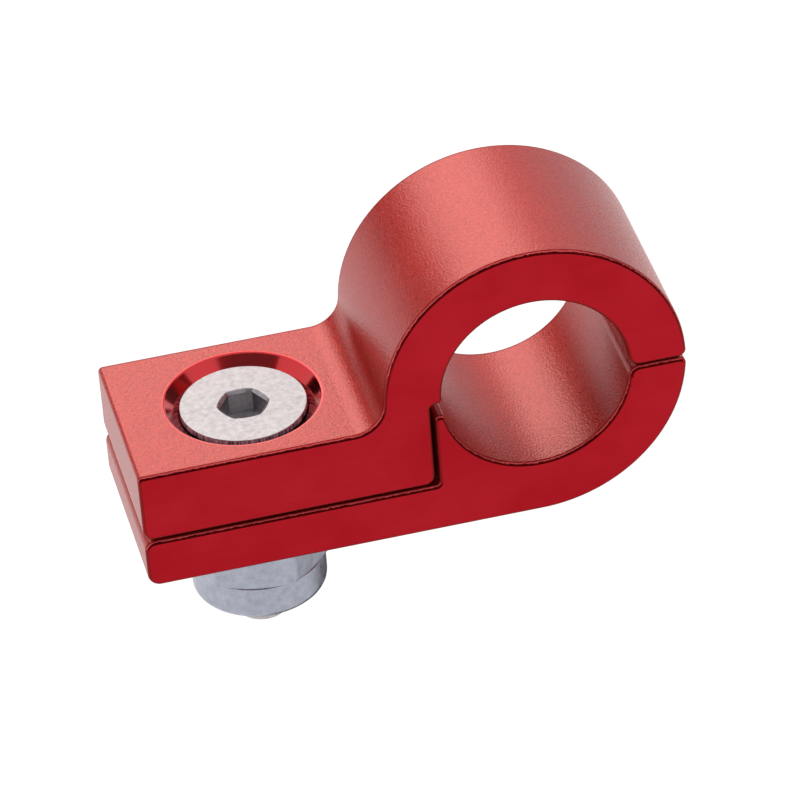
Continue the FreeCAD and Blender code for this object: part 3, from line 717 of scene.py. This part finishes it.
table = bpy.data.materials.new("white_table")
tree = empty_tree(table)
matte = add(tree, "ShaderNodeBsdfDiffuse", Color=colour("E6E6E6"))
glow = add(tree, "ShaderNodeEmission", Color=WHITE, Strength=TABLE_GLOW)
lit = add(tree, "ShaderNodeAddShader", _0=matte, _1=glow)
choose = add(tree, "ShaderNodeMixShader", _0=seen_directly(tree), _1=matte, _2=lit)
add(tree, "ShaderNodeOutputMaterial", Surface=choose)
bm = bmesh.new()
bmesh.ops.create_grid(bm, x_segments=1, y_segments=1, size=TABLE_REACH,
                      matrix=Matrix.Translation((0, 0, TABLE_Z)))
stage_sheet(bm, "table_top", table)

world = bpy.data.worlds.new("studio")
bpy.context.scene.world = world
tree = empty_tree(world)
room = add(tree, "ShaderNodeBackground", Color=WHITE, Strength=ROOM_LIGHT)
white = add(tree, "ShaderNodeBackground", Color=WHITE, Strength=1.0)
choose = add(tree, "ShaderNodeMixShader", _0=seen_directly(tree), _1=room, _2=white)
add(tree, "ShaderNodeOutputWorld", Surface=choose)


def look_at_clip(azimuth, elevation):
    """Direction from the clip, and the turn of a thing out there that looks at the clip.
    Azimuth 0 is the front, 90 the +X side."""
    a = math.radians(azimuth)
    e = math.radians(elevation)
    away = Vector((math.sin(a) * math.cos(e), -math.cos(a) * math.cos(e), math.sin(e)))
    return away, (-away).to_track_quat("-Z", "Y")


def softbox(name, azimuth, elevation, distance, width, height, power, tint):
    """A soft lamp that faces the clip."""
    away, turn = look_at_clip(azimuth, elevation)
    light = bpy.data.lights.new(name, "AREA")
    light.shape = "RECTANGLE"
    light.size = width * MM
    light.size_y = height * MM
    light.energy = power
    light.color = tint
    lamp = bpy.data.objects.new(name, light)
    bpy.context.scene.collection.objects.link(lamp)
    lamp.location = away * distance * MM
    lamp.rotation_mode = "QUATERNION"
    lamp.rotation_quaternion = turn


def card_cloth(name, shade):
    """Matte cloth of a card."""
    material = bpy.data.materials.new(name)
    tree = empty_tree(material)
    cloth = add(tree, "ShaderNodeBsdfDiffuse", Color=colour(shade))
    add(tree, "ShaderNodeOutputMaterial", Surface=cloth)
    return material


def studio_card(name, cloth, azimuth, elevation, distance, width, height):
    """A card that only reflections see: it gives the metal the darker bands of a real studio."""
    away, turn = look_at_clip(azimuth, elevation)
    bm = bmesh.new()
    bmesh.ops.create_grid(bm, x_segments=1, y_segments=1, size=0.5)
    bmesh.ops.scale(bm, verts=bm.verts, vec=(width, height, 1))
    bmesh.ops.transform(bm, verts=bm.verts,
                        matrix=Matrix.Translation(away * distance) @ turn.to_matrix().to_4x4())
    card = stage_sheet(bm, name, cloth)
    card.visible_camera = False
    card.visible_diffuse = False
    card.visible_shadow = False


pale_cloth = card_cloth("pale_cloth", "A8A8A8")
grey_cloth = card_cloth("grey_cloth", "747474")
black_cloth = card_cloth("black_cloth", "242424")
softbox("overhead_softbox", azimuth=189, elevation=37, distance=700, width=480, height=380,
        power=1.19, tint=(1.0, 0.97, 0.87))
studio_card("card_over_camera", pale_cloth, azimuth=-26, elevation=43, distance=1000,
            width=1420, height=950)
studio_card("card_at_back_left", black_cloth, azimuth=213, elevation=12, distance=1000,
            width=540, height=340)
studio_card("card_at_right", grey_cloth, azimuth=102, elevation=24, distance=1000,
            width=1000, height=560)
# The grey card under the nut is a sheet of painted shade: in it the metal's reflections see the
# shade beneath the clip.
studio_card("painted_shade_card_under_nut", grey_cloth, azimuth=190, elevation=-70, distance=51,
            width=46, height=46)

# Camera at the photograph's viewing angle: angles in degrees, clip distances in metres
CAMERA_AZIMUTH = -11.08
CAMERA_ELEVATION = 35.61
CAMERA_ROLL = -4.60
CAMERA_TARGET = (-11.08, 0.0, -5.75)
CAMERA_DISTANCE = 557.4
CAMERA_LENS = 266.4
CAMERA_SENSOR = 36.0
CLIP_START = 0.01
CLIP_END = 20.0

camera_data = bpy.data.cameras.new("camera")
camera = bpy.data.objects.new("camera", camera_data)
bpy.context.scene.collection.objects.link(camera)
bpy.context.scene.camera = camera
camera_data.lens = CAMERA_LENS
camera_data.sensor_width = CAMERA_SENSOR
camera_data.clip_start = CLIP_START
camera_data.clip_end = CLIP_END
away, turn = look_at_clip(CAMERA_AZIMUTH, CAMERA_ELEVATION)
camera.location = (Vector(CAMERA_TARGET) + away * CAMERA_DISTANCE) * MM
camera.rotation_mode = "QUATERNION"
camera.rotation_quaternion = turn @ Quaternion((0, 0, 1), math.radians(CAMERA_ROLL))

bpy.context.scene.view_settings.view_transform = "Standard"
